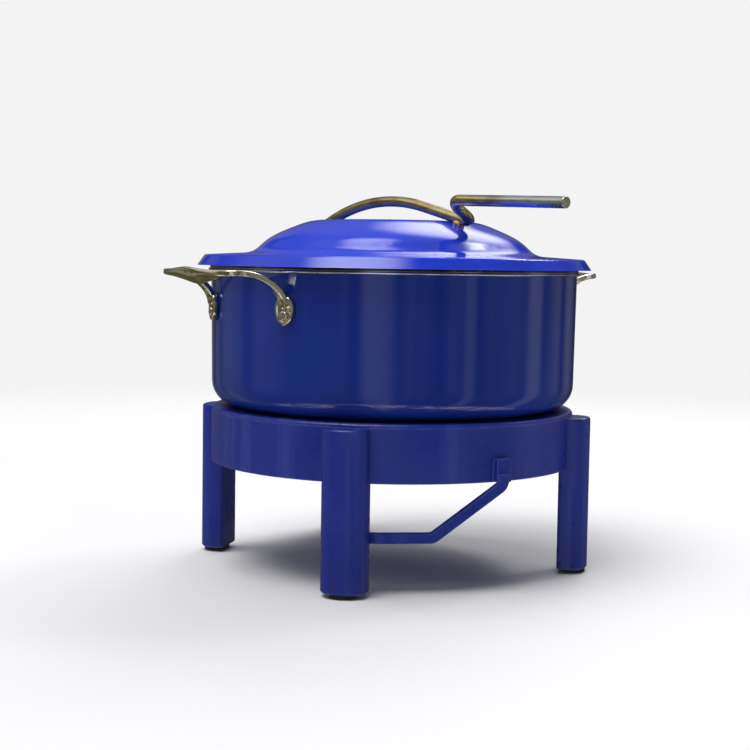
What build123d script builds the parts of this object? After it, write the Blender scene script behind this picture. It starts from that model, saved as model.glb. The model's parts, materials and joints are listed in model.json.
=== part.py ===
from build123d import *
import math
import os

# A round lidded casserole on a low four-legged ring stand, in millimetres.
# Z is up and z = 0 is the floor. The Z axis is the common axis of the ring,
# the pot and the lid. The lid handle's grip points along -Y, and the two pot
# handles lie along -X and +X.

os.makedirs("parts", exist_ok=True)

# ---------------------------------------------------------------- driving sizes
POT_RADIUS = 150.0          # outer wall at the rim
POT_FOOT_RADIUS = 148.8     # outer wall just above the base curve
POT_BASE_CURVE = 21.0       # outer radius between base and wall
POT_WALL = 2.2
POT_BASE = 3.0
LIFT_GAP = 0.2              # air between faces of parts that lift off each other

RING_RADIUS = 148.7         # outside of the stand's band
RING_SHEET = 3.0
RING_BOTTOM = 85.0
RING_TOP = 129.3
LEDGE_INNER_RADIUS = 112.0
LEDGE_EDGE_RADIUS = 2.6

LEG_WIDTH = 35.5
LEG_INNER_RADIUS = 141.5
LEG_OUTER_RADIUS = 164.0
LEG_INNER_CORNER = 3.0
LEG_OUTER_CORNER = 14.5
LEG_TOP = 125.8
LEG_ANGLES = {
    "leg_front_left": -141.9,
    "leg_front_right": -52.1,
    "leg_rear_left": 127.9,
    "leg_rear_right": 68.0,
}

LEG_TOP_ROUND = 2.2
LEG_FOOT_CHAMFER = 1.2

FOOT_RADIUS = 10.5
FOOT_HEIGHT = 3.5
FOOT_EDGE_ROUND = 0.8
FOOT_CENTRE = (LEG_INNER_RADIUS + LEG_OUTER_RADIUS) / 2 - 0.5
FOOT_SCREW_RADIUS = 2.2
FOOT_SCREW_LENGTH = 20.0
FOOT_SCREW_HEAD = 4.6       # radius of the countersunk head
FOOT_SCREW_RECESS = 0.8     # the head sits this far above the floor
SLOT_LENGTH = 5.0           # cross slot of the foot screws
SLOT_WIDTH = 1.1
SLOT_DEPTH = 1.4

BAR = 7.8                   # square bar of the brace
BAR_BEND = 8.0
TAB_ANGLE = -95.4
TAB_TOP = 103.0
TAB_WIDTH = 12.8
TAB_THICKNESS = 5.0
TAB_CORNER = 2.0
TAB_BITE = 1.0              # extra depth that is cut back to the band's curve
BRACE_LOW = 43.0            # height of the brace's level run
BRACE_CORNER_SHARE = 0.56   # how far along the plan the slope reaches the level run
BRACE_START = RING_BOTTOM + 6.0
BRACE_FIRST_BEND = RING_BOTTOM - 2.0
BRACE_LEG_BEND = 22.0       # sideways from the post's middle, where the bar turns along it
BRACE_END = -11.0
BAR_EDGE = 1.2
BRACE_SCREW_RADIUS = 2.5
BRACE_SCREW_HEAD_RADIUS = 4.4
BRACE_SCREW_HEAD = 2.8
BRACE_SCREW_SOCKET = 1.8
BRACE_SCREW_BITE = 12.0

BOLT_HEIGHTS = (97.0, 116.0)
BOLT_RADIUS = 3.0
BOLT_HEAD_RADIUS = 5.2
BOLT_HEAD = 3.2
BOLT_SOCKET = 2.1
BOLT_REACH = 10.0           # how far the bolts go into the post
WASHER_RADIUS = 6.5
WASHER_THICKNESS = 1.2
BOLT_CLEARANCE = 0.1

POT_BOTTOM = RING_TOP + LIFT_GAP
SHELL_TOP = 248.2
RIM_TOP = 249.7
RIM_BEAD_HEIGHT = 240.1
RIM_BEAD_RADIUS = 1.15
RIM_SHEET = 0.9
RIM_INNER_BOTTOM = 243.0
RIM_EASE = 0.05             # between trim and sheet
RIM_CORNER = 0.8

PAD_SPREAD = 19.0           # degrees from the handle's centre line to each pad
PAD_HEIGHT = 211.0
PAD_WIDTH = 16.0
PAD_LENGTH = 23.0
PAD_THICKNESS = 3.6
GRIP_WIDTH = 13.0
GRIP_THICKNESS = 6.0
GRIP_REACH = 197.0
GRIP_CORNER_REACH = 188.0
GRIP_CORNER = 44.5
GRIP_CORNER_BEND = 20.0
GRIP_BOW = 110.0
GRIP_HEIGHT = 240.2
STRAP_START = 213.0
STRAP_BITE = 8.0            # how far the strap's plan runs into the wall before it is cut back
STRAP_CENTRE_REACH = 200.0
LONG_EDGE = 30.0            # the strap's long edges are rounded, its end edges are not
RIVET_HEIGHT = 207.2
RIVET_RADIUS = 2.5
RIVET_HEAD_RADIUS = 3.7
RIVET_HEAD = 1.9
RIVET_INNER_SHARE = 0.7     # height of the head inside the pot, against the outer one
RIVET_DRILL = 30.0          # long enough to pass through wall and pad

LID_SHEET = 2.0
LID_EDGE_RADIUS = 161.35
LID_EDGE_HEIGHT = 243.4
LID_SHOULDER_RADIUS = 155.4
LID_SHOULDER_HEIGHT = 252.1
LID_BROW_RADIUS = 123.5     # where the flat brim turns up into the dome
LID_BROW_HEIGHT = 253.9
LID_TOP = 281.4
LID_FLAT_RADIUS = 60.0
DOME_UPPER = (83.4, 275.6)  # reach and height of two points on the dome's slope
DOME_LOWER = (107.0, 263.0)
LOCATOR_RADIUS = 144.4
LOCATOR_SHEET = 1.5
LOCATOR_BOTTOM = 242.0
LOCATOR_EDGE_ROUND = 0.5
LID_BEND = 3.0              # outer radius of the bend at the brim's edge

TUBE_RADIUS = 4.3
TUBE_WALL = 1.2
ARCH_TOP = 297.5
ARCH_RADIUS = 210.0
ARCH_TILT = 2.6             # degrees, down towards the grip
ARCH_REAR = -104.0
ARCH_FRONT = 37.0
JOG_FOOT_REACH = 103.0      # where the tube turns up and sideways
JOG_HEAD_REACH = 94.5       # where it turns out again into the grip
JOG_SIDE = 26.0
JOG_BEND = 11.5
GRIP_TUBE_HEIGHT = 296.0    # at the step
GRIP_TUBE_DROP = 4.2        # from the step to the grip's end
GRIP_TUBE_END = 221.0
PLUG_CAP = 1.2
PLUG_DEPTH = 7.0
PLUG_EASE = 0.1
HANDLE_SCREW_REACH = (-90.0, 81.0)
HANDLE_SCREW_RADIUS = 2.0
HANDLE_SCREW_HEAD_RADIUS = 3.8
HANDLE_SCREW_HEAD = 2.4
HANDLE_SCREW_SOCKET = 1.5
HANDLE_WASHER_RADIUS = 5.0
HANDLE_WASHER = 1.0
HANDLE_SEAT = LID_SHEET + HANDLE_WASHER + 0.1    # depth of the screw head's face below the dome
SPACER_RADIUS = 4.8
SADDLE_DEPTH = 1.2


# ---------------------------------------------------------------- helpers
def along(angle, radius, height=0.0):
    """The point at a polar angle, a radius and a height."""
    a = math.radians(angle)
    return (radius * math.cos(a), radius * math.sin(a), height)


def plan_plane(angle, height=0.0):
    """A level plane on the main axis whose x axis points out at the given angle."""
    return Plane(origin=(0, 0, height), x_dir=along(angle, 1), z_dir=(0, 0, 1))


def wall_plane(angle, radius, height, outward=True):
    """An upright plane at a radius, facing out of the object or towards its axis."""
    facing = 1 if outward else -1
    return Plane(
        origin=along(angle, radius, height),
        x_dir=along(angle + 90, facing),
        z_dir=along(angle, facing),
    )


def side_plane(angle):
    """The upright plane through the main axis: x is the radius and y is the height."""
    return Plane(origin=(0, 0, 0), x_dir=along(angle, 1), z_dir=along(angle - 90, 1))


def finish(builder, name):
    """Label a finished piece and write it to its own file."""
    builder.part.label = name
    export_step(builder.part, f"parts/{name}.step")


def button_bolt(shank_radius, length, head_radius, head_height, socket):
    """A dome-headed bolt: its head stands on z = 0 and its shank points down."""
    with BuildPart() as bolt:
        Cylinder(head_radius, head_height, align=(Align.CENTER, Align.CENTER, Align.MIN))
        fillet(bolt.edges().group_by(Axis.Z)[-1], head_height * 0.62)
        with BuildSketch(Plane.XY.offset(head_height)):
            RegularPolygon(socket, 6)
        extrude(amount=-head_height * 0.55, mode=Mode.SUBTRACT)
        with BuildSketch(Plane.XY):
            Circle(shank_radius)
        extrude(amount=-length)
    return bolt.part


def washer(outer_radius, inner_radius, thickness):
    """A flat washer lying on z = 0."""
    with BuildPart() as ring:
        with BuildSketch(Plane.XY):
            Circle(outer_radius)
            Circle(inner_radius, mode=Mode.SUBTRACT)
        extrude(amount=thickness)
    return ring.part


# ---------------------------------------------------------------- ring of the stand
LEDGE_BOTTOM = RING_TOP - RING_SHEET
BAND_INNER = RING_RADIUS - RING_SHEET

with BuildPart() as ring_band:
    with BuildSketch(Plane.XY.offset(RING_BOTTOM)):
        Circle(RING_RADIUS)
        Circle(BAND_INNER, mode=Mode.SUBTRACT)
    extrude(amount=LEDGE_BOTTOM - RING_BOTTOM)
    band_holes = [
        wall_plane(angle, BAND_INNER, height, outward=False).location
        for angle in LEG_ANGLES.values()
        for height in BOLT_HEIGHTS
    ]
    with Locations(*band_holes):
        Hole(BOLT_RADIUS + BOLT_CLEARANCE, depth=2 * RING_SHEET)
finish(ring_band, "ring_band")

with BuildPart() as ring_ledge:
    with BuildSketch(Plane.XY.offset(LEDGE_BOTTOM)):
        Circle(RING_RADIUS)
        Circle(LEDGE_INNER_RADIUS, mode=Mode.SUBTRACT)
    extrude(amount=RING_SHEET)
    top_rims = ring_ledge.edges().group_by(Axis.Z)[-1].sort_by(SortBy.RADIUS)
    fillet(top_rims[-1], LEDGE_EDGE_RADIUS)
    fillet(top_rims[0], RING_SHEET / 3)
finish(ring_ledge, "ring_ledge")


# ---------------------------------------------------------------- legs
def build_leg(angle, with_brace_hole):
    """A half-round post with a rebate in which the band sits."""
    with BuildPart() as leg:
        with BuildSketch(plan_plane(angle, FOOT_HEIGHT)) as section:
            with Locations(((LEG_INNER_RADIUS + LEG_OUTER_RADIUS) / 2, 0)):
                Rectangle(LEG_OUTER_RADIUS - LEG_INNER_RADIUS, LEG_WIDTH)
            corners = section.vertices().sort_by_distance((0, 0, 0))
            fillet(corners[:2], LEG_INNER_CORNER)
            fillet(section.vertices().sort_by_distance((0, 0, 0))[-2:], LEG_OUTER_CORNER)
        extrude(amount=LEG_TOP - FOOT_HEIGHT)
        fillet(leg.edges().group_by(Axis.Z)[-1], LEG_TOP_ROUND)
        chamfer(leg.edges().group_by(Axis.Z)[0], LEG_FOOT_CHAMFER)
        with BuildSketch(Plane.XY.offset(RING_BOTTOM)):
            Circle(RING_RADIUS)
        extrude(amount=LEG_TOP, mode=Mode.SUBTRACT)
        bolt_spots = [
            wall_plane(angle, RING_RADIUS, height, outward=False).location for height in BOLT_HEIGHTS
        ]
        with Locations(*bolt_spots):
            Hole(BOLT_RADIUS, depth=BOLT_REACH)
        with Locations(Location(along(angle, FOOT_CENTRE, FOOT_HEIGHT), (180, 0, 0))):
            Hole(FOOT_SCREW_RADIUS, depth=FOOT_SCREW_LENGTH)
        if with_brace_hole:
            with Locations(wall_plane(angle, LEG_INNER_RADIUS, BRACE_LOW, outward=False).location):
                Hole(BRACE_SCREW_RADIUS, depth=BRACE_SCREW_BITE)
    return leg


for leg_name, leg_angle in LEG_ANGLES.items():
    finish(build_leg(leg_angle, leg_name == "leg_front_left"), leg_name)

# ---------------------------------------------------------------- feet
FOOT_SINK = FOOT_SCREW_HEAD - FOOT_SCREW_RADIUS


def build_foot(angle):
    """A rubber disc under the post, countersunk for its screw."""
    with BuildPart() as foot:
        with BuildSketch(Plane.XY):
            with Locations(along(angle, FOOT_CENTRE)[:2]):
                Circle(FOOT_RADIUS)
        extrude(amount=FOOT_HEIGHT)
        fillet(foot.edges().group_by(Axis.Z)[0], FOOT_EDGE_ROUND)
        with BuildSketch(Plane.XY):
            with Locations(along(angle, FOOT_CENTRE)[:2]):
                Circle(FOOT_SCREW_HEAD)
        extrude(amount=FOOT_SCREW_RECESS, mode=Mode.SUBTRACT)
        with Locations(Location(along(angle, FOOT_CENTRE, FOOT_SCREW_RECESS), (180, 0, 0))):
            CounterSinkHole(FOOT_SCREW_RADIUS, FOOT_SCREW_HEAD, depth=FOOT_HEIGHT, counter_sink_angle=90)
    return foot


for leg_name, leg_angle in LEG_ANGLES.items():
    finish(build_foot(leg_angle), leg_name.replace("leg_", "foot_"))

with BuildPart() as foot_screw:
    with BuildSketch(Plane.XZ):
        with BuildLine():
            Polyline(
                (0, 0),
                (FOOT_SCREW_HEAD, 0),
                (FOOT_SCREW_RADIUS, FOOT_SINK),
                (FOOT_SCREW_RADIUS, FOOT_SCREW_LENGTH),
                (0, FOOT_SCREW_LENGTH),
                close=True,
            )
        make_face()
    revolve(axis=Axis.Z)
    with BuildSketch(Plane.XY):
        Rectangle(SLOT_LENGTH, SLOT_WIDTH)
        Rectangle(SLOT_WIDTH, SLOT_LENGTH)
    extrude(amount=SLOT_DEPTH, mode=Mode.SUBTRACT)

with BuildPart() as foot_screws:
    with Locations(*[along(angle, FOOT_CENTRE, FOOT_SCREW_RECESS) for angle in LEG_ANGLES.values()]):
        add(foot_screw.part)
finish(foot_screws, "foot_screws")

# ---------------------------------------------------------------- leg bolts and washers
HEAD_FACE = BAND_INNER - WASHER_THICKNESS
leg_bolt = button_bolt(
    BOLT_RADIUS, WASHER_THICKNESS + RING_SHEET + BOLT_REACH, BOLT_HEAD_RADIUS, BOLT_HEAD, BOLT_SOCKET
)
leg_washer = washer(WASHER_RADIUS, BOLT_RADIUS + BOLT_CLEARANCE, WASHER_THICKNESS)

with BuildPart() as leg_bolts:
    for angle in LEG_ANGLES.values():
        for height in BOLT_HEIGHTS:
            with Locations(wall_plane(angle, HEAD_FACE, height, outward=False).location):
                add(leg_bolt)
finish(leg_bolts, "leg_bolts")

# The band is curved, so each washer is seated on it by cutting away what would enter the sheet.
with BuildPart() as leg_bolt_washers:
    for angle in LEG_ANGLES.values():
        for height in BOLT_HEIGHTS:
            with Locations(wall_plane(angle, BAND_INNER, height, outward=False).location):
                add(leg_washer)
    with BuildSketch(Plane.XY.offset(RING_BOTTOM)):
        Circle(RING_RADIUS)
        Circle(BAND_INNER, mode=Mode.SUBTRACT)
    extrude(amount=LEDGE_BOTTOM - RING_BOTTOM, mode=Mode.SUBTRACT)
finish(leg_bolt_washers, "leg_bolt_washers")

# ---------------------------------------------------------------- brace
# A square bar: welded to the band by a flattened end, it slopes down beside the
# opening, runs level and is screwed to the inner face of the front left leg.
BRACE_LEG = LEG_ANGLES["leg_front_left"]
tab_foot = Vector(*along(TAB_ANGLE, RING_RADIUS + BAR / 2, BRACE_FIRST_BEND))
tab_start = Vector(*along(TAB_ANGLE, RING_RADIUS + BAR / 2, BRACE_START))
leg_face = plan_plane(BRACE_LEG, BRACE_LOW)
bend_at_leg = leg_face.from_local_coords(Vector(LEG_INNER_RADIUS - BAR / 2, BRACE_LEG_BEND, 0))
brace_end = leg_face.from_local_coords(Vector(LEG_INNER_RADIUS - BAR / 2, BRACE_END, 0))
corner = Vector(
    tab_foot.X + (bend_at_leg.X - tab_foot.X) * BRACE_CORNER_SHARE,
    tab_foot.Y + (bend_at_leg.Y - tab_foot.Y) * BRACE_CORNER_SHARE,
    BRACE_LOW,
)
run_direction = Vector(bend_at_leg.X - tab_foot.X, bend_at_leg.Y - tab_foot.Y, 0)

with BuildPart() as leg_brace:
    with BuildLine() as brace_line:
        FilletPolyline(tab_start, tab_foot, corner, bend_at_leg, brace_end, radius=BAR_BEND)
    with BuildSketch(Plane(origin=tab_start, x_dir=run_direction, z_dir=(0, 0, -1))):
        RectangleRounded(BAR, BAR, BAR_EDGE)
    sweep()
    with BuildSketch(wall_plane(TAB_ANGLE, RING_RADIUS - TAB_BITE, (TAB_TOP + RING_BOTTOM) / 2)) as tab:
        Rectangle(TAB_WIDTH, TAB_TOP - RING_BOTTOM)
        fillet(tab.vertices().sort_by(Axis.Z)[-2:], TAB_CORNER)
    extrude(amount=TAB_THICKNESS + TAB_BITE)
    with BuildSketch(Plane.XY.offset(RING_BOTTOM)):
        Circle(RING_RADIUS)
    extrude(amount=RING_TOP - RING_BOTTOM, mode=Mode.SUBTRACT)
    with Locations(wall_plane(BRACE_LEG, LEG_INNER_RADIUS - BAR, BRACE_LOW, outward=False).location):
        Hole(BRACE_SCREW_RADIUS, depth=BAR)
finish(leg_brace, "leg_brace")

brace_bolt = button_bolt(
    BRACE_SCREW_RADIUS, BAR + BRACE_SCREW_BITE, BRACE_SCREW_HEAD_RADIUS, BRACE_SCREW_HEAD, BRACE_SCREW_SOCKET
)
with BuildPart() as brace_screw:
    with Locations(wall_plane(BRACE_LEG, LEG_INNER_RADIUS - BAR, BRACE_LOW, outward=False).location):
        add(brace_bolt)
finish(brace_screw, "brace_screw")


# ---------------------------------------------------------------- pot
def pot_section(inset, bottom, top):
    """Half of the pot's filled section, moved in from the outside by an inset."""
    foot_radius = POT_FOOT_RADIUS - inset
    curve = POT_BASE_CURVE - inset
    with BuildSketch(Plane.XZ) as section:
        with BuildLine():
            Polyline((POT_RADIUS - inset, top), (0, top), (0, bottom), (foot_radius - curve, bottom))
            RadiusArc((foot_radius - curve, bottom), (foot_radius, bottom + curve), -curve)
            Line((foot_radius, bottom + curve), (POT_RADIUS - inset, top))
        make_face()
    return section.sketch


HANDLE_ANGLES = {"left": 180.0, "right": 0.0}
PAD_ANGLES = {
    side: [centre - PAD_SPREAD, centre + PAD_SPREAD] for side, centre in HANDLE_ANGLES.items()
}

with BuildPart() as pot_shell:
    revolve(pot_section(0, POT_BOTTOM, SHELL_TOP), axis=Axis.Z)
    revolve(pot_section(POT_WALL, POT_BOTTOM + POT_BASE, SHELL_TOP), axis=Axis.Z, mode=Mode.SUBTRACT)
    rivet_holes = [
        wall_plane(angle, POT_RADIUS, RIVET_HEIGHT).location
        for angles in PAD_ANGLES.values()
        for angle in angles
    ]
    with Locations(*rivet_holes):
        Hole(RIVET_RADIUS, depth=RIVET_DRILL)
finish(pot_shell, "pot_shell")

# The rim trim is a channel pressed over the edge of the sheet, with a bead below.
RIM_OUTER = POT_RADIUS + RIM_EASE + RIM_SHEET
RIM_INNER = POT_RADIUS - POT_WALL - RIM_EASE - RIM_SHEET

with BuildPart() as rim_trim:
    with BuildSketch(Plane.XZ):
        with Locations(((RIM_INNER + RIM_OUTER) / 2, (RIM_TOP + RIM_INNER_BOTTOM) / 2)):
            RectangleRounded(RIM_OUTER - RIM_INNER, RIM_TOP - RIM_INNER_BOTTOM, RIM_CORNER)
        with Locations((RIM_OUTER - RIM_SHEET / 2, (RIM_TOP - RIM_CORNER + RIM_BEAD_HEIGHT) / 2)):
            Rectangle(RIM_SHEET, RIM_TOP - RIM_CORNER - RIM_BEAD_HEIGHT)
        with Locations((RIM_OUTER + RIM_CORNER / 8, RIM_BEAD_HEIGHT)):
            Circle(RIM_BEAD_RADIUS)
    revolve(axis=Axis.Z)
    revolve(pot_section(0, POT_BOTTOM, SHELL_TOP), axis=Axis.Z, mode=Mode.SUBTRACT)
    with BuildSketch(Plane.XY.offset(SHELL_TOP)):
        Circle(RIM_INNER)
    extrude(amount=RIM_BEAD_HEIGHT - SHELL_TOP, mode=Mode.SUBTRACT)
finish(rim_trim, "rim_trim")


# ---------------------------------------------------------------- pot handles
def build_pot_handle(side):
    """A cast loop: two oval pads on the wall and a flat strap that rises into a wide grip."""
    centre = HANDLE_ANGLES[side]
    pad_spread = POT_RADIUS * math.sin(math.radians(PAD_SPREAD))
    pad_reach = POT_RADIUS * math.cos(math.radians(PAD_SPREAD))
    with BuildPart() as handle:
        with BuildSketch(plan_plane(centre, PAD_HEIGHT - PAD_LENGTH)):
            with BuildLine():
                FilletPolyline(
                    (pad_reach - STRAP_BITE, -pad_spread),
                    (GRIP_CORNER_REACH, -GRIP_CORNER),
                    (GRIP_REACH, 0),
                    (GRIP_CORNER_REACH, GRIP_CORNER),
                    (pad_reach - STRAP_BITE, pad_spread),
                    radius=[GRIP_CORNER_BEND, GRIP_BOW, GRIP_CORNER_BEND],
                )
            trace(line_width=GRIP_WIDTH)
        extrude(amount=2 * PAD_LENGTH + GRIP_HEIGHT - PAD_HEIGHT)
        with BuildSketch(side_plane(centre)):
            with BuildLine():
                EllipticalCenterArc(
                    (STRAP_CENTRE_REACH, STRAP_START),
                    STRAP_CENTRE_REACH - pad_reach - 1,
                    GRIP_HEIGHT - STRAP_START,
                    start_angle=90,
                    arc_size=90,
                )
                Line((STRAP_CENTRE_REACH, GRIP_HEIGHT), (GRIP_REACH + GRIP_WIDTH, GRIP_HEIGHT))
            trace(line_width=GRIP_THICKNESS)
        extrude(amount=2 * pad_spread, both=True, mode=Mode.INTERSECT)
        fillet(handle.edges().filter_by(lambda e: e.length > LONG_EDGE), GRIP_THICKNESS * 0.4)
        for angle in PAD_ANGLES[side]:
            with BuildSketch(wall_plane(angle, pad_reach, PAD_HEIGHT)):
                Ellipse(PAD_WIDTH / 2, PAD_LENGTH / 2)
            extrude(amount=POT_RADIUS + PAD_THICKNESS - pad_reach)
        revolve(pot_section(0, POT_BOTTOM, SHELL_TOP), axis=Axis.Z, mode=Mode.SUBTRACT)
        drill_starts = [
            wall_plane(angle, POT_RADIUS + RIVET_DRILL / 3, RIVET_HEIGHT).location
            for angle in PAD_ANGLES[side]
        ]
        with Locations(*drill_starts):
            Hole(RIVET_RADIUS, depth=RIVET_DRILL)
    return handle


for side in HANDLE_ANGLES:
    finish(build_pot_handle(side), f"pot_handle_{side}")


# ---------------------------------------------------------------- handle rivets
WALL_FLARE = (POT_RADIUS - POT_FOOT_RADIUS) / (SHELL_TOP - POT_BOTTOM - POT_BASE_CURVE)
WALL_AT_RIVET = POT_FOOT_RADIUS + WALL_FLARE * (RIVET_HEIGHT - POT_BOTTOM - POT_BASE_CURVE)
RIVET_OUTER_FACE = POT_RADIUS + PAD_THICKNESS
RIVET_INNER_FACE = WALL_AT_RIVET - POT_WALL - 0.1


def rivet_head(height):
    """A low dome standing on z = 0."""
    with BuildPart() as head:
        Cylinder(RIVET_HEAD_RADIUS, height, align=(Align.CENTER, Align.CENTER, Align.MIN))
        fillet(head.edges().group_by(Axis.Z)[-1], height * 0.85)
    return head.part


outer_head = rivet_head(RIVET_HEAD)
inner_head = rivet_head(RIVET_HEAD * RIVET_INNER_SHARE)

for side, angles in PAD_ANGLES.items():
    with BuildPart() as rivets:
        for angle in angles:
            with Locations(wall_plane(angle, RIVET_OUTER_FACE, RIVET_HEIGHT).location):
                add(outer_head)
            with Locations(wall_plane(angle, RIVET_INNER_FACE, RIVET_HEIGHT, outward=False).location):
                add(inner_head)
            with BuildSketch(wall_plane(angle, RIVET_INNER_FACE, RIVET_HEIGHT)):
                Circle(RIVET_RADIUS)
            extrude(amount=RIVET_OUTER_FACE - RIVET_INNER_FACE)
    finish(rivets, f"handle_rivets_{side}")


# ---------------------------------------------------------------- lid handle's route
# One bent tube: an arch over the dome, a sideways step at its front end, then a
# straight grip that reaches out past the brim. "Reach" is measured along -Y.
TILT = math.tan(math.radians(ARCH_TILT))


def arch_point(reach):
    """A point of the arch's centre line."""
    sag = ARCH_RADIUS - math.sqrt(ARCH_RADIUS**2 - reach**2)
    return Vector(0, -reach, ARCH_TOP - sag - reach * TILT)


arch = ThreePointArc(
    arch_point(ARCH_REAR), arch_point((ARCH_REAR + ARCH_FRONT) / 2), arch_point(ARCH_FRONT)
)
lead = arch % 1
jog_foot = arch_point(ARCH_FRONT) + lead * ((JOG_FOOT_REACH - ARCH_FRONT) / -lead.Y)
jog_head = Vector(-JOG_SIDE, -JOG_HEAD_REACH, GRIP_TUBE_HEIGHT)
grip_end = Vector(-JOG_SIDE, -GRIP_TUBE_END, GRIP_TUBE_HEIGHT - GRIP_TUBE_DROP)
step = FilletPolyline(arch_point(ARCH_FRONT), jog_foot, jog_head, grip_end, radius=JOG_BEND)


def tube_centre(reach):
    """The tube's centre above the dome, on the arch or on the straight lead after it."""
    if reach <= ARCH_FRONT:
        return arch_point(reach)
    return arch_point(ARCH_FRONT) + lead * ((reach - ARCH_FRONT) / -lead.Y)


# ---------------------------------------------------------------- lid
def dome_curve(drop=0.0):
    """The dome's outline from its flat top to the brim: x is the reach, y is the height."""
    return Spline(
        (LID_FLAT_RADIUS, LID_TOP - drop),
        (DOME_UPPER[0], DOME_UPPER[1] - drop),
        (DOME_LOWER[0], DOME_LOWER[1] - drop),
        (LID_BROW_RADIUS, LID_BROW_HEIGHT - drop),
        tangents=[(1, 0), (1, -0.05)],
    )


def lid_section(drop):
    """Half of the filled section under the lid's surface, lowered by a sheet thickness."""
    edge = LID_EDGE_RADIUS - 1.4 * drop
    shoulder = LID_SHOULDER_RADIUS - drop
    dome = dome_curve(drop)
    with BuildSketch(Plane.XZ) as section:
        with BuildLine():
            Polyline((edge, LID_EDGE_HEIGHT), (0, LID_EDGE_HEIGHT), (0, LID_TOP - drop), dome @ 0)
            add(dome)
            FilletPolyline(
                dome @ 1,
                (shoulder, LID_SHOULDER_HEIGHT - drop),
                (edge, LID_EDGE_HEIGHT),
                radius=LID_BEND - drop / 2,
            )
        make_face()
    return section.sketch


def handle_foot_plane(reach):
    """The plane on the dome under the tube, facing the tube, and the distance to its centre."""
    centre = tube_centre(reach)
    side = math.copysign(1, reach)
    spot = dome_curve().closest_points(Vertex(abs(reach), centre.Z))[0]
    origin = Vector(0, -side * spot.X, spot.Y)
    return Plane(origin=origin, x_dir=(1, 0, 0), z_dir=centre - origin), (centre - origin).length


handle_feet = [handle_foot_plane(reach) for reach in HANDLE_SCREW_REACH]

with BuildPart() as lid_shell:
    revolve(lid_section(0), axis=Axis.Z)
    revolve(lid_section(LID_SHEET), axis=Axis.Z, mode=Mode.SUBTRACT)
    for foot_plane, _ in handle_feet:
        with BuildSketch(foot_plane.offset(-2 * LID_SHEET)):
            Circle(HANDLE_SCREW_RADIUS)
        extrude(amount=4 * LID_SHEET, mode=Mode.SUBTRACT)
finish(lid_shell, "lid_shell")

# A short collar under the brim drops inside the rim and keeps the lid central.
with BuildPart() as lid_space:
    with BuildSketch(Plane.XY.offset(LOCATOR_BOTTOM)):
        Circle(LID_SHOULDER_RADIUS - 8)
    extrude(amount=LID_EDGE_HEIGHT - LOCATOR_BOTTOM)
    revolve(lid_section(LID_SHEET), axis=Axis.Z)

with BuildPart() as lid_locator:
    with BuildSketch(Plane.XY.offset(LOCATOR_BOTTOM)):
        Circle(LOCATOR_RADIUS)
        Circle(LOCATOR_RADIUS - LOCATOR_SHEET, mode=Mode.SUBTRACT)
    extrude(amount=LID_TOP - LOCATOR_BOTTOM)
    add(lid_space.part, mode=Mode.INTERSECT)
    fillet(lid_locator.edges().group_by(Axis.Z)[0], LOCATOR_EDGE_ROUND)
finish(lid_locator, "lid_locator")

# ---------------------------------------------------------------- lid handle
with BuildPart() as handle_rod:
    with BuildLine():
        add(arch)
        add(step)
    with BuildSketch(Plane(origin=arch @ 0, z_dir=arch % 0)):
        Circle(TUBE_RADIUS)
    sweep()

with BuildPart() as lid_handle:
    with BuildLine():
        add(arch)
        add(step)
    with BuildSketch(Plane(origin=arch @ 0, z_dir=arch % 0)):
        Circle(TUBE_RADIUS)
        Circle(TUBE_RADIUS - TUBE_WALL, mode=Mode.SUBTRACT)
    sweep()
    for foot_plane, rise in handle_feet:
        with BuildSketch(foot_plane):
            Circle(HANDLE_SCREW_RADIUS)
        extrude(amount=rise, mode=Mode.SUBTRACT)
finish(lid_handle, "lid_handle")

# Saddle spacers hold the tube off the dome at both feet.
with BuildPart() as handle_spacers:
    for foot_plane, rise in handle_feet:
        with BuildSketch(foot_plane.offset(-LID_SHEET)):
            Circle(SPACER_RADIUS)
            Circle(HANDLE_SCREW_RADIUS, mode=Mode.SUBTRACT)
        extrude(amount=LID_SHEET + rise - TUBE_RADIUS + SADDLE_DEPTH)
    add(handle_rod.part, mode=Mode.SUBTRACT)
    revolve(lid_section(0), axis=Axis.Z, mode=Mode.SUBTRACT)
finish(handle_spacers, "handle_spacers")

foot_washer = washer(HANDLE_WASHER_RADIUS, HANDLE_SCREW_RADIUS, HANDLE_WASHER)
with BuildPart() as handle_washers:
    for foot_plane, _ in handle_feet:
        with Locations(foot_plane.offset(-HANDLE_SEAT).location):
            add(foot_washer)
finish(handle_washers, "handle_washers")

with BuildPart() as handle_screws:
    for foot_plane, rise in handle_feet:
        seat = foot_plane.offset(-HANDLE_SEAT)
        facing_down = Plane(origin=seat.origin, x_dir=(1, 0, 0), z_dir=-seat.z_dir)
        with Locations(facing_down.location):
            add(
                button_bolt(
                    HANDLE_SCREW_RADIUS,
                    HANDLE_SEAT + rise,
                    HANDLE_SCREW_HEAD_RADIUS,
                    HANDLE_SCREW_HEAD,
                    HANDLE_SCREW_SOCKET,
                )
            )
finish(handle_screws, "handle_screws")


def end_plug():
    """A cap on z = 0 with a spigot that fills the tube's mouth below it."""
    with BuildPart() as plug:
        Cylinder(TUBE_RADIUS, PLUG_CAP, align=(Align.CENTER, Align.CENTER, Align.MIN))
        fillet(plug.edges().group_by(Axis.Z)[-1], PLUG_CAP * 0.6)
        with BuildSketch(Plane.XY):
            Circle(TUBE_RADIUS - TUBE_WALL - PLUG_EASE)
        extrude(amount=-PLUG_DEPTH)
    return plug.part


tube_mouths = [
    Plane(origin=arch @ 0, z_dir=-(arch % 0)),
    Plane(origin=step @ 1, z_dir=step % 1),
]
with BuildPart() as handle_end_plugs:
    with Locations(*[mouth.location for mouth in tube_mouths]):
        add(end_plug())
finish(handle_end_plugs, "handle_end_plugs")
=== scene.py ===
import json
import math

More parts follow.
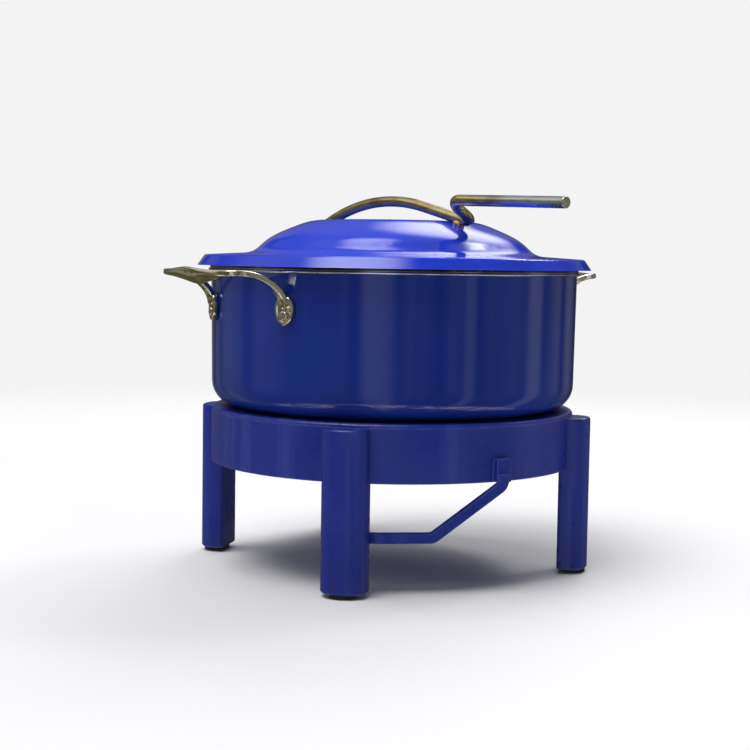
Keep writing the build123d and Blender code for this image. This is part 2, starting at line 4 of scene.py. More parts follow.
import bmesh
import bpy
from mathutils import Matrix, Vector


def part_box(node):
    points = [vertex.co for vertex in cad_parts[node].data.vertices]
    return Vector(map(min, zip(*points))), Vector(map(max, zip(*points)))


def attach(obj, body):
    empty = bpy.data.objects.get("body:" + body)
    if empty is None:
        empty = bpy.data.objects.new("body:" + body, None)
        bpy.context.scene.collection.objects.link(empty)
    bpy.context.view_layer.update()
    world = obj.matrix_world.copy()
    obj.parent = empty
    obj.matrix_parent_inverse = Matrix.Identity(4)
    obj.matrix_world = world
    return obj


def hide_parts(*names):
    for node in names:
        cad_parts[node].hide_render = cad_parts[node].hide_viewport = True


# A blue lidded casserole on a ring stand. Metres, +Z up, in the frame of the CAD part.
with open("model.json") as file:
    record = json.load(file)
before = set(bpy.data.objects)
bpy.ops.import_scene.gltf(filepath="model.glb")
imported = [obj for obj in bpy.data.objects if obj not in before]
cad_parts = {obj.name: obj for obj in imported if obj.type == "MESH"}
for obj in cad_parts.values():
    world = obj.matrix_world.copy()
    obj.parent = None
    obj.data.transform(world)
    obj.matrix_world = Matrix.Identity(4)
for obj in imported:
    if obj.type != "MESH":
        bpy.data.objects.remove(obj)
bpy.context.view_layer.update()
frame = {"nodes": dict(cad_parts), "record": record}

SCENE = bpy.context.scene
LINK = SCENE.collection.objects.link
UP = Vector((0.0, 0.0, 1.0))
MM = 0.001


# ---------------------------------------------------------------- camera
CAMERA_AZIMUTH = math.radians(-39.0)
CAMERA_DISTANCE = 1.2611        # from the object's axis
CAMERA_HEIGHT = 0.2508
CAMERA_YAW = 0.0114             # radians, as are the pitch and the roll
CAMERA_PITCH = 0.0764           # downwards
CAMERA_ROLL = 0.0156
CAMERA_LENS = 73.19             # millimetres
CAMERA_SENSOR = 36.0            # millimetres wide


def make_camera():
    data = bpy.data.cameras.new("camera")
    data.sensor_width = CAMERA_SENSOR
    data.lens = CAMERA_LENS
    camera = bpy.data.objects.new("camera", data)
    LINK(camera)
    camera.matrix_world = (
        Matrix.Rotation(CAMERA_AZIMUTH, 4, "Z")
        @ Matrix.Translation((0, -CAMERA_DISTANCE, CAMERA_HEIGHT))
        @ Matrix.Rotation(CAMERA_YAW, 4, "Z")
        @ Matrix.Rotation(math.pi / 2 - CAMERA_PITCH, 4, "X")
        @ Matrix.Rotation(CAMERA_ROLL, 4, "Z")
    )
    SCENE.camera = camera


# ---------------------------------------------------------------- shader helper
BEVEL_SAMPLES = 6
EDGE_TURN = 0.12        # an edge shows fully where rounding turns the normal by acos(1 - this)


class Nodes:
    """Short calls that add nodes to one node tree."""

    def __init__(self, tree, coordinates):
        self.tree = tree
        self.tree.nodes.clear()
        self.place = self.add("ShaderNodeTexCoord").outputs[coordinates]

    def put(self, socket, value):
        """Links a socket to another one, or sets its value. A colour may come without its alpha."""
        if isinstance(value, bpy.types.NodeSocket):
            self.tree.links.new(value, socket)
        elif socket.type == "RGBA" and len(value) == 3:
            socket.default_value = (*value, 1.0)
        else:
            socket.default_value = value

    def fill(self, node, inputs):
        for name, value in inputs.items():
            self.put(node.inputs[name.replace("_", " ")], value)

    def add(self, kind, **inputs):
        node = self.tree.nodes.new(kind)
        self.fill(node, inputs)
        return node

    def noise(self, scale, detail=3.0, stretch=(1, 1, 1), shift=0.0):
        """A cloudy value, mostly between 0.3 and 0.7. A higher scale gives smaller features."""
        spot = self.add(
            "ShaderNodeMapping",
            Vector=self.place,
            Scale=stretch,
            Location=(shift, shift, shift),
        )
        texture = self.add(
            "ShaderNodeTexNoise",
            Vector=spot.outputs["Vector"],
            Scale=scale,
            Detail=detail,
        )
        return texture.outputs["Fac"]

    def span(self, value, low, high, to_low=0.0, to_high=1.0):
        """Maps low..high to to_low..to_high, smoothly and clamped."""
        node = self.add("ShaderNodeMapRange")
        node.interpolation_type = "SMOOTHSTEP"
        for index, number in enumerate((value, low, high, to_low, to_high)):
            self.put(node.inputs[index], number)
        return node.outputs["Result"]

    def mix(self, share, first, second):
        """A colour from the first to the second as the share goes from 0 to 1."""
        node = self.add("ShaderNodeMix")
        node.data_type = "RGBA"
        for index, value in ((0, share), (6, first), (7, second)):
            self.put(node.inputs[index], value)
        return node.outputs[2]

    def maths(self, operation, first, second):
        node = self.add("ShaderNodeMath")
        node.operation = operation
        self.put(node.inputs[0], first)
        self.put(node.inputs[1], second)
        return node.outputs[0]

    def vector_maths(self, operation, first, second=None):
        node = self.add("ShaderNodeVectorMath")
        node.operation = operation
        self.put(node.inputs[0], first)
        if second is not None:
            self.put(node.inputs[1], second)
        return node.outputs["Value" if operation in ("DOT_PRODUCT", "LENGTH") else "Vector"]


class Shader(Nodes):
    """A node material with a Principled surface, in the metres of the object."""

    def __init__(self, name):
        self.material = bpy.data.materials.new(name)
        self.material.use_nodes = True
        super().__init__(self.material.node_tree, "Object")
        self.surface = self.add("ShaderNodeBsdfPrincipled")
        self.add("ShaderNodeOutputMaterial", Surface=self.surface.outputs["BSDF"])

    def finish(self, **inputs):
        """Fills the surface's sockets and gives the material."""
        self.fill(self.surface, inputs)
        return self.material

    def along(self, axis):
        """The point's X, Y or Z in the object's own frame."""
        return self.add("ShaderNodeSeparateXYZ", Vector=self.place).outputs[axis]

    def rounded(self, radius):
        """A normal that softens edges within a radius."""
        node = self.add("ShaderNodeBevel", Radius=radius)
        node.samples = BEVEL_SAMPLES
        return node.outputs["Normal"]

    def edges(self, radius):
        """1 on edges and 0 on flats."""
        facing = self.add("ShaderNodeNewGeometry").outputs["Normal"]
        match = self.vector_maths("DOT_PRODUCT", self.rounded(radius), facing)
        return self.span(match, 1.0 - EDGE_TURN, 1.0, 1.0, 0.0)

    def bump(self, height, distance, strength, under=None):
        """A normal with this relief, over another normal if there is one."""
        node = self.add("ShaderNodeBump", Height=height, Distance=distance, Strength=strength)
        if under is not None:
            self.put(node.inputs["Normal"], under)
        return node.outputs["Normal"]


# ---------------------------------------------------------------- materials
POT_BLUE = (0.009, 0.031, 0.25)
POT_DEEP_BLUE = (0.007, 0.024, 0.205)
LID_BLUE = (0.012, 0.046, 0.66)
LID_DEEP_BLUE = (0.010, 0.038, 0.58)
ENAMEL_IOR = 1.5

STAND_BLUE = (0.014, 0.030, 0.28)
STAND_DEEP_BLUE = (0.010, 0.024, 0.23)
STAND_PALE_BLUE = (0.060, 0.078, 0.38)
STAND_BARE_STEEL = (0.30, 0.27, 0.26)
STAND_DIRT = (0.030, 0.034, 0.09)
STAND_DIRT_TOP = 30 * MM
PAINT_IOR = 1.40

CASTING = (0.78, 0.76, 0.62)
CASTING_STAIN = (0.50, 0.44, 0.22)

# painted reflections in the metal's tint: the warm room mirrored in the arch, a cooler one in the
# grip; the stain tones add real stains
TUBE_WARM_REFLECTION = (0.86, 0.69, 0.32)
TUBE_WARM_REFLECTION_STAIN = (0.48, 0.30, 0.13)
TUBE_COOL_REFLECTION = (0.74, 0.80, 0.72)
TUBE_COOL_REFLECTION_STAIN = (0.40, 0.40, 0.38)
TUBE_STREAK = (0.22, 0.19, 0.15)
TUBE_COOL_REFLECTION_UNTIL = -175 * MM      # along Y: the grip's painted cool reflection holds up to here
TUBE_WARM_REFLECTION_FROM = -120 * MM         # and the painted warm reflection from here on

RIM_BRIGHT = (0.78, 0.78, 0.79)
RIM_GREY = (0.66, 0.66, 0.69)
# painted shade: the trim above the bead lies in the shadow of the lid's edge
RIM_PAINTED_SHADE = (0.05, 0.052, 0.075)
RIM_SPOT = (0.30, 0.27, 0.25)
RIM_BEAD_TOP = 2.2 * MM             # over the trim's lower edge
RIM_FADE = 0.6 * MM

FASTENER = (0.56, 0.56, 0.57)
FASTENER_MARK = (0.40, 0.39, 0.38)

RUBBER = (0.010, 0.010, 0.012)
RUBBER_DUST = (0.055, 0.053, 0.056)


def enamel(name, colour, deep):
    """Glass-hard glossy enamel: slight waviness, faint wipe marks, and paler edges, partly a thinner
    coat and partly a painted highlight.
    """
    s = Shader(name)
    paler = [c * 1.5 for c in colour]
    thin_coat_and_highlight = [min(1.0, c * 1.9 + 0.01) for c in colour]
    cloud = s.span(s.noise(7.0), 0.35, 0.65)
    tint = s.mix(cloud, deep, colour)
    speck = s.span(s.noise(900.0, 1.0, shift=3.0), 0.66, 0.74, 0.0, 0.35)
    tint = s.mix(speck, tint, paler)
    # paler edges: partly the thinner coat, partly a painted highlight where the edges catch light
    edge_coat_and_highlight = s.maths("MULTIPLY", s.edges(1.2 * MM), 0.35)
    tint = s.mix(edge_coat_and_highlight, tint, thin_coat_and_highlight)
    wipe = s.noise(22.0, 6.0, stretch=(1.0, 1.0, 0.25), shift=1.0)
    rough = s.span(wipe, 0.35, 0.75, 0.045, 0.16)
    wave = s.bump(s.noise(55.0, 1.0), 0.6 * MM, 0.10)
    peel = s.bump(s.noise(650.0, 1.0), 0.08 * MM, 0.22, wave)
    return s.finish(Base_Color=tint, Roughness=rough, Normal=peel, IOR=ENAMEL_IOR)


def stand_paint(name):
    """Sprayed satin paint over steel: orange peel, paler streaks, lighter worn edges with small
    chips, and scuffs near the floor."""
    s = Shader(name)
    tint = s.mix(s.span(s.noise(11.0, 4.0), 0.3, 0.7), STAND_DEEP_BLUE, STAND_BLUE)
    streak = s.noise(60.0, 4.0, stretch=(1.0, 1.0, 0.08), shift=2.0)
    tint = s.mix(s.span(streak, 0.5, 0.75, 0.0, 0.4), tint, STAND_PALE_BLUE)
    rub = s.edges(2.2 * MM)
    worn = s.maths("MULTIPLY", rub, s.span(s.noise(90.0, 5.0), 0.35, 0.6, 0.35, 1.0))
    tint = s.mix(worn, tint, STAND_PALE_BLUE)
    knock = s.edges(1.2 * MM)
    chip = s.maths("MULTIPLY", knock, s.span(s.noise(240.0, 4.0, shift=5.0), 0.66, 0.70))
    tint = s.mix(chip, tint, STAND_BARE_STEEL)
    low = s.span(s.along("Z"), 2 * MM, STAND_DIRT_TOP, 1.0, 0.0)
    scuff = s.maths("MULTIPLY", low, s.span(s.noise(180.0, 5.0), 0.52, 0.64, 0.0, 0.6))
    tint = s.mix(scuff, tint, STAND_DIRT)
    rough = s.span(s.noise(35.0, 5.0, shift=4.0), 0.3, 0.7, 0.22, 0.40)
    soft = s.rounded(1.0 * MM)
    wave = s.bump(s.noise(70.0, 2.0, stretch=(1.0, 1.0, 0.3)), 0.8 * MM, 0.12, soft)
    peel = s.bump(s.noise(520.0, 2.0), 0.4 * MM, 0.30, wave)
    pit = s.bump(chip, -0.4 * MM, 0.5, peel)
    return s.finish(Base_Color=tint, Roughness=rough, Normal=pit, IOR=PAINT_IOR)


def cast_steel(name):
    """Polished casting with buffing marks, warm stains and a slightly uneven face."""
    s = Shader(name)
    stain = s.span(s.noise(38.0, 5.0), 0.45, 0.72, 0.0, 0.75)
    tint = s.mix(stain, CASTING, CASTING_STAIN)
    buff = s.noise(700.0, 3.0, stretch=(1.0, 0.12, 1.0), shift=1.0)
    rough = s.span(s.noise(75.0, 5.0, shift=2.0), 0.3, 0.7, 0.05, 0.17)
    uneven = s.bump(s.noise(120.0, 2.0), 1.0 * MM, 0.35, s.rounded(0.5 * MM))
    fine = s.bump(buff, 0.03 * MM, 0.3, uneven)
    return s.finish(Base_Color=tint, Roughness=rough, Normal=fine, Metallic=1.0)


def tube_steel(name):
    """Polished tube with lengthwise streaks. Its arch and step carry a painted warm reflection in
    their tint, the grip a painted cooler one.
    """
    s = Shader(name)
    # painted reflection: a warm tint on the arch and step, a cooler tint on the grip
    warm_reflection = s.span(s.along("Y"), TUBE_COOL_REFLECTION_UNTIL, TUBE_WARM_REFLECTION_FROM)
    stain = s.span(s.noise(30.0, 5.0), 0.42, 0.66, 0.0, 0.9)
    warm_reflection_tint = s.mix(stain, TUBE_WARM_REFLECTION, TUBE_WARM_REFLECTION_STAIN)
    cool_reflection_tint = s.mix(stain, TUBE_COOL_REFLECTION, TUBE_COOL_REFLECTION_STAIN)
    streak = s.noise(420.0, 3.0, stretch=(1.0, 0.04, 1.0), shift=1.0)
    dark = s.span(streak, 0.50, 0.70, 0.0, 0.45)
    tint = s.mix(dark, s.mix(warm_reflection, cool_reflection_tint, warm_reflection_tint), TUBE_STREAK)
    rough = s.span(s.noise(75.0, 5.0, shift=2.0), 0.3, 0.7, 0.10, 0.24)
    uneven = s.bump(s.noise(70.0, 2.0, stretch=(1.0, 0.35, 1.0)), 1.0 * MM, 0.45)
    fine = s.bump(streak, 0.05 * MM, 0.35, uneven)
    return s.finish(Base_Color=tint, Roughness=rough, Normal=fine, Metallic=1.0)


def rim_steel(name):
    """Bright drawn trim with stained spots. Above the bead, under the lid's edge, it is painted dark
    as the lid's shade.
    """
    s = Shader(name)
    bead_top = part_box("rim_trim")[0].z + RIM_BEAD_TOP
    lines = s.noise(6.0, 3.0, stretch=(1.0, 1.0, 500.0))
    # painted shade above the bead, where the lid's edge shades the trim
    painted_shade = s.span(s.along("Z"), bead_top, bead_top + RIM_FADE)
    bright = s.mix(lines, RIM_BRIGHT, RIM_GREY)
    tint = s.mix(painted_shade, bright, RIM_PAINTED_SHADE)
    spot = s.span(s.noise(160.0, 4.0), 0.55, 0.7, 0.0, 0.5)
    tint = s.mix(spot, tint, RIM_SPOT)
    rough = s.span(lines, 0.3, 0.7, 0.12, 0.30)
    drawn = s.bump(lines, 0.04 * MM, 0.4)
    return s.finish(Base_Color=tint, Roughness=rough, Normal=drawn, Metallic=1.0)


def fastener_steel(name):
    """Plain stainless with handling marks and a fine grain."""
    s = Shader(name)
    mark = s.span(s.noise(260.0, 5.0), 0.4, 0.7)
    tint = s.mix(mark, FASTENER, FASTENER_MARK)
    rough = s.span(s.noise(500.0, 4.0, shift=2.0), 0.3, 0.7, 0.22, 0.42)
    grain = s.bump(s.noise(2200.0, 2.0), 0.04 * MM, 0.4, s.rounded(0.3 * MM))
    return s.finish(Base_Color=tint, Roughness=rough, Normal=grain, Metallic=1.0)


def foot_rubber(name):
    """Moulded black rubber with a dusty bloom."""
    s = Shader(name)
    dust = s.span(s.noise(320.0, 5.0), 0.45, 0.75, 0.0, 0.7)
    tint = s.mix(dust, RUBBER, RUBBER_DUST)
    rough = s.span(s.noise(600.0, 3.0), 0.3, 0.7, 0.62, 0.88)
    grain = s.bump(s.noise(2600.0, 2.0), 0.1 * MM, 0.5)
    return s.finish(Base_Color=tint, Roughness=rough, Normal=grain)


MATERIALS = {
    "pot_enamel": enamel("pot_enamel", POT_BLUE, POT_DEEP_BLUE),
    "lid_enamel": enamel("lid_enamel", LID_BLUE, LID_DEEP_BLUE),
    "stand_paint": stand_paint("stand_paint"),
    "rim_steel": rim_steel("rim_steel"),
    "polished_handle": cast_steel("polished_handle"),
    "polished_tube": tube_steel("polished_tube"),
    "fastener_steel": fastener_steel("fastener_steel"),
    "foot_rubber": foot_rubber("foot_rubber"),
}


def dress_cad_nodes():
    """Every CAD node shows the material of its slot in the record. Its mesh stays as it came."""
    for part in frame["record"]["subparts"]:
        node = frame["nodes"][part["node"]]
        node.data.materials.clear()
        node.data.materials.append(MATERIALS[part["material_slot"]])


# ---------------------------------------------------------------- mesh helper
PEAK_ROUNDING = 0.12        # of rise_and_fall, as a share of its reach


def ring_point(reach, angle, height):
    """A point at a distance from the object's axis."""
    return Vector((reach * math.cos(angle), reach * math.sin(angle), height))


def spline(points, steps):
    """Points along a cubic B-spline that starts and ends at the first and last point."""
    held = [points[0]] * 2 + points + [points[-1]] * 2
    line = []
    for four in zip(held, held[1:], held[2:], held[3:]):
        for step in range(steps):
            t = step / steps
            weights = ((1 - t) ** 3, 3 * t**3 - 6 * t**2 + 4, 3 * t + 3 * t**2 - 3 * t**3 + 1, t**3)
            line.append(sum((p * w / 6 for p, w in zip(four, weights)), Vector()))
    return line + [points[-1].copy()]


def skin(mesh, rings):
    """Joins closed rings of equal length with four-sided faces, and closes both ends."""
    for first, second in zip(rings, rings[1:]):
        for k in range(len(first)):
            mesh.faces.new((first[k - 1], second[k - 1], second[k], first[k]))
    mesh.faces.new(rings[0])
    mesh.faces.new(reversed(rings[-1]))


def sweep(mesh, line, sections):
    """Adds a closed bar along a line, with a section at each of its points. A section is a ring of
    places (outward, upward); outward is level and to the right of the line's direction."""
    rings = []
    for index, (point, section) in enumerate(zip(line, sections)):
        along = line[min(index + 1, len(line) - 1)] - line[max(index - 1, 0)]
        outward = along.cross(UP).normalized()
        upward = outward.cross(along).normalized()
        rings.append([
            mesh.verts.new(point + outward * across + upward * rise)
            for across, rise in section
        ])
    skin(mesh, rings)


def finish_piece(mesh, name, body, slot, *replaced):
    """Makes a smooth, outward-facing piece of a mesh, hangs it on its body and hides the CAD parts it
    replaces.
    """
    bmesh.ops.recalc_face_normals(mesh, faces=mesh.faces)
    for face in mesh.faces:
        face.smooth = True
    data = bpy.data.meshes.new(name)
    mesh.to_mesh(data)
    mesh.free()
    data.materials.append(MATERIALS[slot])
    piece = bpy.data.objects.new(name, data)
    LINK(piece)
    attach(piece, body)
    if replaced:
        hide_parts(*replaced)


def rise_and_fall(value, reach):
    """1 at zero, 0 from reach on, with straight flanks and a rounded top."""
    rounding = reach * PEAK_ROUNDING
    return max(0.0, 1.0 - (math.hypot(value, rounding) - rounding) / (reach - rounding))


# ---------------------------------------------------------------- loop handles of the pot
WALL_REACH = 149.7 * MM             # the pot's wall, behind the pads
PAD_SPREAD = math.radians(19.0)     # from a handle's middle to each pad
PAD_MIDDLE = 211.0 * MM
PAD_HALF_WIDTH = 8.0 * MM
PAD_HALF_HEIGHT = 11.4 * MM
PAD_EGG = 0.10                      # how much wider the pad is above its middle
PAD_PROFILE = [                     # share of the way out, height over the wall
    (0.60, 3.7 * MM), (0.70, 3.9 * MM), (0.78, 4.5 * MM), (0.86, 4.75 * MM),
    (0.94, 4.5 * MM), (0.99, 3.7 * MM), (1.00, 2.6 * MM), (1.00, 0.0),
]
PAD_SIDES = 48
BOSS_MIDDLE = 216.5 * MM
BOSS_RADIUS = 5.6 * MM
BOSS_PROFILE = [
    (0.2, 6.6 * MM), (0.5, 6.3 * MM), (0.75, 5.4 * MM), (0.92, 4.4 * MM), (1.0, 3.0 * MM),
]
BOSS_SIDES = 24
STRAP_WIDTH = 9.4 * MM
STRAP_THICKNESS = 4.8 * MM
STRAP_HOLLOW = 0.09                 # how far the strap's sides are drawn in
LEAF_WIDTH = 18.6 * MM              # the grip is a leaf, widest in its middle
LEAF_THICKNESS = 3.3 * MM
LEAF_TILT = math.radians(40.0)      # its outer edge is the higher one
LEAF_CAMBER = 2.3 * MM
LEAF_DROP = 3.0 * MM
LEAF_REACH = 46.0 * MM              # from the middle to where the leaf ends in the straps
GRIP_OUTER = 6.3 * MM               # from the bow's line to its outer edge
BOW_FROM = 165.0 * MM               # from the object's axis: where the straps turn into the bow
BOW_FULL = 187.0 * MM
# Half of the handle's line from the pad to the grip's middle: outward, sideways and up, in
# millimetres.
STRAP_LINE = [
    (144.4, 49.5, 213.5), (145.4, 49.4, 218.5), (149.6, 49.2, 225.5), (158.0, 48.8, 232.0),
    (169.5, 48.0, 236.8), (181.0, 46.6, 238.4), (188.6, 42.0, 238.4), (191.6, 29.0, 238.8),
    (193.8, 14.0, 239.2), (194.4, 0.0, 239.2),
]
LINE_STEPS = 8                      # points of the bar between two of the line
BAR_SIDES = 28


def rounded_bar(width, thickness, tilt, camber, hollow):
    """A bar's section with round corners, hollow sides and a belly, turned by the tilt."""
    places = []
    for k in range(BAR_SIDES):
        turn = math.tau * (k + 0.5) / BAR_SIDES
        a = math.copysign(math.sqrt(abs(math.cos(turn))), math.cos(turn))
        b = math.copysign(math.sqrt(abs(math.sin(turn))), math.sin(turn))
        across = width / 2 * a * (1 - hollow * (1 - b * b))
        rise = thickness / 2 * b - camber * (1 - a * a)
        places.append((
            across * math.cos(tilt) - rise * math.sin(tilt),
            across * math.sin(tilt) + rise * math.cos(tilt),
        ))
    return places


def grip_section(point):
    """The loop handle's section at a point of its line: a strap that grows into the leaf."""
    leaf = rise_and_fall(point.y, LEAF_REACH)
    width = STRAP_WIDTH + (LEAF_WIDTH - STRAP_WIDTH) * leaf
    thickness = STRAP_THICKNESS + (LEAF_THICKNESS - STRAP_THICKNESS) * leaf
    tilt = LEAF_TILT * leaf
    on_bow = min(1.0, max(0.0, (point.x - BOW_FROM) / (BOW_FULL - BOW_FROM)))
    outward = on_bow * (GRIP_OUTER - width / 2 * math.cos(tilt))
    bar = rounded_bar(width, thickness, tilt, LEAF_CAMBER * leaf, STRAP_HOLLOW * (1 - leaf))
    return [(across + outward, rise - LEAF_DROP * leaf) for across, rise in bar]


def add_swelling(mesh, angle, middle, half_width, half_height, egg, profile, sides):
    """A closed oval on the pot's wall, bent round it; the profile gives its height outwards."""
    rings = []
    for share, height in profile:
        ring = []
        for k in range(sides):
            turn = math.tau * k / sides
            half = half_width * (1 + egg * math.sin(turn))
            spin = angle + half * share * math.cos(turn) / WALL_REACH
            rise = half_height * share * math.sin(turn)
            ring.append(mesh.verts.new(ring_point(WALL_REACH + height, spin, middle + rise)))
        rings.append(ring)
    skin(mesh, rings)


def make_loop_handle(side, angle):
    """A bowed grip on two straps. Each ends in a dished pad, with a boss where it joins."""
    mesh = bmesh.new()
    half = [Vector(place) * MM for place in STRAP_LINE]
    near = [Vector((p.x, -p.y, p.z)) for p in half]
    line = spline(near + half[-2::-1], LINE_STEPS)
    sweep(mesh, line, [grip_section(point) for point in line])
    for pad_angle in (-PAD_SPREAD, PAD_SPREAD):
        add_swelling(
            mesh, pad_angle, PAD_MIDDLE, PAD_HALF_WIDTH, PAD_HALF_HEIGHT, PAD_EGG,
            PAD_PROFILE, PAD_SIDES,
        )
        add_swelling(
            mesh, pad_angle, BOSS_MIDDLE, BOSS_RADIUS, BOSS_RADIUS, 0.0,
            BOSS_PROFILE, BOSS_SIDES,
        )
    turned = Matrix.Rotation(math.radians(angle), 3, "Z")
    bmesh.ops.rotate(mesh, verts=mesh.verts, matrix=turned)
    finish_piece(mesh, "loop_handle_" + side, "pot", "polished_handle", "pot_handle_" + side)


# ---------------------------------------------------------------- welds of the stand
WELD_RADIUS = 1.3 * MM
WELD_RIPPLE = 0.22                  # how much thinner a bead gets along each of its scales
WELD_SCALE = 1.6 * MM               # from one scale to the next
WELD_STEP = 0.25 * MM               # from one section of a bead to the next
WELD_SIDES = 10
TAB_ANGLE = math.radians(-95.4)
TAB_HALF_WIDTH = 6.4 * MM
TAB_WELD_DROP = 2.4 * MM            # the side welds stop below the tab's round corners
TAB_WELD_LEAN = 0.2 * MM            # outwards, so that the line isn't quite upright for sweep
BAND_SHEET = 3.0 * MM
STITCHES = 12                       # short welds between the band and the ledge
STITCH_LENGTH = 24.0 * MM


def add_bead(mesh, line):
    """A round bead that gets thinner along each of its scales, and then starts again."""
    turns = [math.tau * k / WELD_SIDES for k in range(WELD_SIDES)]
    sections = []
    for index in range(len(line)):
        scale = (index * WELD_STEP / WELD_SCALE) % 1.0
        radius = WELD_RADIUS * (1.0 - WELD_RIPPLE * scale)
        sections.append([(radius * math.cos(turn), radius * math.sin(turn)) for turn in turns])
    sweep(mesh, line, sections)


def make_ring_welds():
    """Stitch welds under the ledge, and a bead down each side of the brace's tab."""
    mesh = bmesh.new()
    band_low, band_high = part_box("ring_band")
    ledge_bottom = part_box("ring_ledge")[0].z
    tab_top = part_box("leg_brace")[1].z
    inside = band_high.x - BAND_SHEET
    half = STITCH_LENGTH / 2 / inside
    steps = round(STITCH_LENGTH / WELD_STEP)
    for stitch in range(STITCHES):
        middle = math.tau * (stitch + 0.5) / STITCHES
        turns = [middle - half + 2 * half * k / steps for k in range(steps + 1)]
        add_bead(mesh, [ring_point(inside, turn, ledge_bottom) for turn in turns])
    low = band_low.z + WELD_RADIUS
    high = tab_top - TAB_WELD_DROP
    steps = round((high - low) / WELD_STEP)
    for side in (-1, 1):
        angle = TAB_ANGLE + side * TAB_HALF_WIDTH / band_high.x
        line = []
        for k in range(steps + 1):
            reach = band_high.x + TAB_WELD_LEAN * k / steps
            line.append(ring_point(reach, angle, low + (high - low) * k / steps))
        add_bead(mesh, line)
    finish_piece(mesh, "ring_welds", "stand", "stand_paint")


# ---------------------------------------------------------------- stage and light
FLOOR_REACH = 1.9
FLOOR_FADE_FROM = 1.0           # from here the floor fades into the plain background
FLOOR_FADE_TO = 1.85
FLOOR_SIDES = 96
FLOOR_TONES = ((0.78, 0.78, 0.79), (0.82, 0.82, 0.83))
FLOOR_ROUGHNESS = 0.75
BACKGROUND = (0.90, 0.90, 0.91)

# Soft lamps of the room: azimuth, elevation, inner and outer radius in degrees, strength.
LAMPS = [
    (-42, 69, 2, 24, 7.0),
    (-146, 74, 2, 13, 4.5),
    (162, 41, 4, 19, 4.2),
    (131, 49, 2, 9, 12.0),
    (-85, 50, 4, 40, 0.6),
    (178, 66, 6, 40, 0.25),
]
# Upright lamps: azimuth, inner and outer half width in degrees, strength.
STRIPS = [
    (-9, 2, 13, 0.42),
    (48, 1, 5, 0.45),
    (98, 2, 9, 0.40),
    (-128, 2, 10, 0.15),
]
LAMP_TINT = (1.0, 0.99, 0.98)

# Heights in the room are shares of a sphere's radius: -1 is straight down and 1 straight up.
STRIP_TOP = 0.45
LOW_ROW_FROM = (-0.88, -0.82)   # a broken row of small lamps below eye level starts here
LOW_ROW_TO = (-0.74, -0.66)     # and ends here
LOW_ROW_STRENGTH = (0.25, 2.2)  # in its gaps and in its lamps
WALL_DARK = (0.030, 0.028, 0.024)
WALL_PALE = (0.28, 0.26, 0.21)
LOW_WALL = (0.085, 0.078, 0.034)
LOW_WALL_FADE = (-0.5, 0.0)
CEILING = (0.20, 0.22, 0.26)
CEILING_FADE = (0.25, 0.95)


def make_floor():
    mesh = bmesh.new()
    bmesh.ops.create_circle(mesh, cap_ends=True, radius=FLOOR_REACH, segments=FLOOR_SIDES)
    data = bpy.data.meshes.new("floor")
    mesh.to_mesh(data)
    mesh.free()
    floor = bpy.data.objects.new("floor", data)
    LINK(floor)
    s = Shader("floor_pale")
    tint = s.mix(s.noise(3.0), *FLOOR_TONES)
    solid = s.span(s.vector_maths("LENGTH", s.place), FLOOR_FADE_FROM, FLOOR_FADE_TO, 1.0, 0.0)
    data.materials.append(s.finish(Base_Color=tint, Roughness=FLOOR_ROUGHNESS, Alpha=solid))
    floor.visible_glossy = False        # shiny parts mirror the dim room, not a white table


def around(azimuth, distance, height):
    """A point round the object; azimuth 0 is the camera's side and 90 the camera's right."""
    a = CAMERA_AZIMUTH + math.radians(azimuth)
    return Vector((distance * math.sin(a), -distance * math.cos(a), height))


def soft_spot(nodes, direction, aim, inner, outer, strength):
    """Full strength within the inner angle of the aim, and nothing beyond the outer one."""
    match = nodes.vector_maths("DOT_PRODUCT", direction, aim)
    edge = math.cos(math.radians(outer))
    core = math.cos(math.radians(inner))
    return nodes.span(match, edge, core, 0.0, strength)


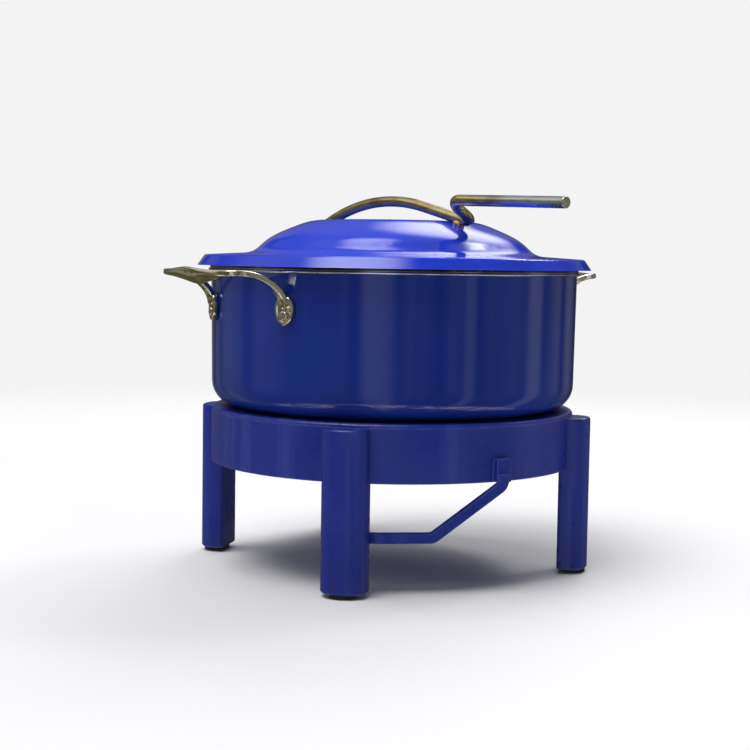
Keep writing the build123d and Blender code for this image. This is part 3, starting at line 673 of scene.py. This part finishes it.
def make_world():
    """A soft room: lamps above, dim and banded walls. The camera itself sees a plain pale tone."""
    world = bpy.data.worlds.new("room")
    world.use_nodes = True
    SCENE.world = world
    n = Nodes(world.node_tree, "Generated")
    rise = n.add("ShaderNodeSeparateXYZ", Vector=n.place).outputs["Z"]
    level = n.vector_maths("NORMALIZE", n.vector_maths("MULTIPLY", n.place, (1.0, 1.0, 0.0)))

    bands = n.span(n.noise(3.2, 2.0, stretch=(1.0, 1.0, 0.06)), 0.36, 0.66)
    room = n.mix(bands, WALL_DARK, WALL_PALE)
    room = n.mix(n.span(rise, *LOW_WALL_FADE), LOW_WALL, room)
    room = n.mix(n.span(rise, *CEILING_FADE), room, CEILING)

    light = 0.0
    for azimuth, elevation, inner, outer, strength in LAMPS:
        lift = math.radians(elevation)
        aim = around(azimuth, math.cos(lift), math.sin(lift))
        light = n.maths("ADD", soft_spot(n, n.place, aim, inner, outer, strength), light)
    below_top = n.span(rise, STRIP_TOP / 2, STRIP_TOP, 1.0, 0.0)
    for azimuth, inner, outer, strength in STRIPS:
        strip = soft_spot(n, level, around(azimuth, 1.0, 0.0), inner, outer, strength)
        light = n.maths("ADD", n.maths("MULTIPLY", strip, below_top), light)
    row = n.maths(
        "MULTIPLY",
        n.span(rise, *LOW_ROW_FROM),
        n.span(rise, *LOW_ROW_TO, 1.0, 0.0),
    )
    dashes = n.span(n.noise(14.0, 1.0, stretch=(1.0, 1.0, 0.05)), 0.52, 0.62, *LOW_ROW_STRENGTH)
    light = n.maths("ADD", n.maths("MULTIPLY", row, dashes), light)

    walls = n.add("ShaderNodeBackground", Color=room)
    lamps = n.add("ShaderNodeBackground", Color=LAMP_TINT, Strength=light)
    lit = n.add("ShaderNodeAddShader")
    plain = n.add("ShaderNodeBackground", Color=BACKGROUND)
    shown = n.add("ShaderNodeMixShader")
    n.put(lit.inputs[0], walls.outputs[0])
    n.put(lit.inputs[1], lamps.outputs[0])
    n.put(shown.inputs[0], n.add("ShaderNodeLightPath").outputs["Is Camera Ray"])
    n.put(shown.inputs[1], lit.outputs[0])
    n.put(shown.inputs[2], plain.outputs[0])
    n.add("ShaderNodeOutputWorld", Surface=shown.outputs[0])


# ---------------------------------------------------------------- assembly
SCENE.view_settings.view_transform = "Standard"
make_camera()
make_world()
make_floor()
dress_cad_nodes()
make_loop_handle("left", 180.0)
make_loop_handle("right", 0.0)
make_ring_welds()
